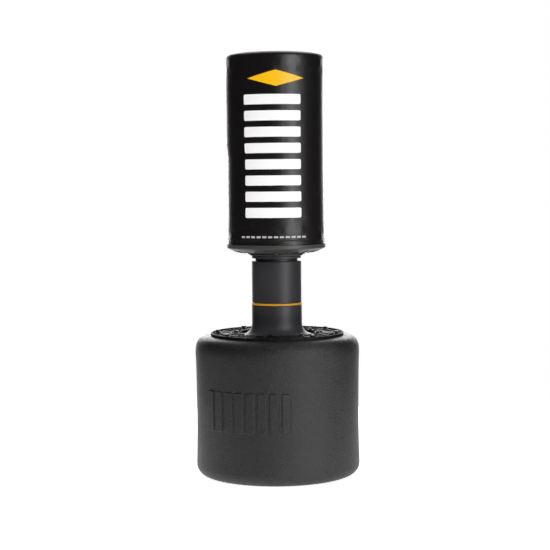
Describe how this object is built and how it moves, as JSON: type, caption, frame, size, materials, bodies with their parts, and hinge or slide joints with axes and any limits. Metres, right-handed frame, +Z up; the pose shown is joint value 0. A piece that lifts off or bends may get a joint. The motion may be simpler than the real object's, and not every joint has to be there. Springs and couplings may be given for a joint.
{
  "type": "free-standing heavy punch bag",
  "caption": "Free-standing heavy punch bag: padded cylinder screwed onto a plastic neck that sways in a flexible ribbed ring bolted on a round ballast tank.",
  "frame": {"origin": "centre of the ballast tank's foot, on the floor", "axes": "+Z up along the bag's axis, -Y towards the printed front, +X to the right seen from the front"},
  "size_m": [0.624, 0.624, 1.588],
  "materials": {
    "tank_plastic": "fine pebble-grained charcoal blow-moulded polyethylene",
    "neck_plastic": "satin charcoal blow-moulded polyethylene",
    "ring_plastic": "semi-gloss black moulded elastomer and plastic",
    "accent_plastic": "satin amber yellow plastic",
    "cover_leather": "black synthetic leather, soft sheen, printed in amber and white",
    "plate_plastic": "satin dark grey moulded plastic",
    "core_plastic": "dark blow-moulded polyethylene",
    "foam": "grey open-cell foam",
    "seal_rubber": "matt black rubber",
    "black_steel": "black zinc-plated steel, slightly glossy",
    "zinc_steel": "bright zinc-plated steel",
    "insert_brass": "knurled brass, dull"
  },
  "bodies": {
    "base": {"base_tank": "tank_plastic", "ring_insert_1": "insert_brass", "ring_insert_2": "insert_brass", "ring_insert_3": "insert_brass", "ring_insert_4": "insert_brass", "ring_insert_5": "insert_brass", "ring_insert_6": "insert_brass", "ring_insert_7": "insert_brass", "ring_insert_8": "insert_brass", "tank_bolt_1": "black_steel", "tank_bolt_2": "black_steel", "tank_bolt_3": "black_steel", "tank_bolt_4": "black_steel", "tank_bolt_5": "black_steel", "tank_bolt_6": "black_steel", "tank_bolt_7": "black_steel", "tank_bolt_8": "black_steel"},
    "plug_seal": {"plug_gasket": "seal_rubber"},
    "plug": {"fill_plug": "ring_plastic"},
    "ring": {"flex_ring": "ring_plastic"},
    "neck": {"neck_lower": "neck_plastic", "flange_backing_ring": "zinc_steel", "neck_bolt_1": "black_steel", "neck_bolt_2": "black_steel", "neck_bolt_3": "black_steel", "neck_bolt_4": "black_steel", "neck_bolt_5": "black_steel", "neck_bolt_6": "black_steel", "neck_bolt_7": "black_steel", "neck_bolt_8": "black_steel", "accent_ring": "accent_plastic", "neck_upper": "neck_plastic"},
    "seat": {"seat_washer": "seal_rubber"},
    "bag": {"bag_core": "core_plastic", "bottom_plate": "plate_plastic", "plate_screw_1": "zinc_steel", "plate_screw_2": "zinc_steel", "plate_screw_3": "zinc_steel", "plate_screw_4": "zinc_steel", "plate_screw_5": "zinc_steel", "plate_screw_6": "zinc_steel", "foam_sleeve": "foam", "foam_top_pad": "foam", "bag_cover": "cover_leather", "top_panel": "cover_leather"}
  },
  "joints": [
    {"name": "sway_sideways", "type": "hinge", "parent": "base", "child": "ring", "pos_m": [0, 0, 0.53], "axis": [0, 1, 0], "range_deg": [-4, 4], "stiffness_Nm_per_rad": 1800, "deforming": ["flex_ring"]},
    {"name": "sway_front_back", "type": "hinge", "parent": "ring", "child": "neck", "pos_m": [0, 0, 0.53], "axis": [1, 0, 0], "range_deg": [-4, 4], "stiffness_Nm_per_rad": 1800},
    {"name": "bag_rise", "type": "slide", "parent": "neck", "child": "seat", "axis": [0, 0, 1], "range_m": [0, 0.032]},
    {"name": "bag_unscrew", "type": "hinge", "parent": "seat", "child": "bag", "pos_m": [0, 0, 0.85], "axis": [0, 0, 1], "range_deg": [0, 720]},
    {"name": "plug_out", "type": "slide", "parent": "base", "child": "plug_seal", "axis": [0, 1, 0], "range_m": [0, 0.012]},
    {"name": "plug_unscrew", "type": "hinge", "parent": "plug_seal", "child": "plug", "pos_m": [0, 0.3, 0.4], "axis": [0, 1, 0], "range_deg": [0, 720]}
  ],
  "couplings": [
    {"joint": "bag_rise", "follows": "bag_unscrew", "m_per_rad": 0.0025465},
    {"joint": "plug_out", "follows": "plug_unscrew", "m_per_rad": 0.00095493}
  ]
}
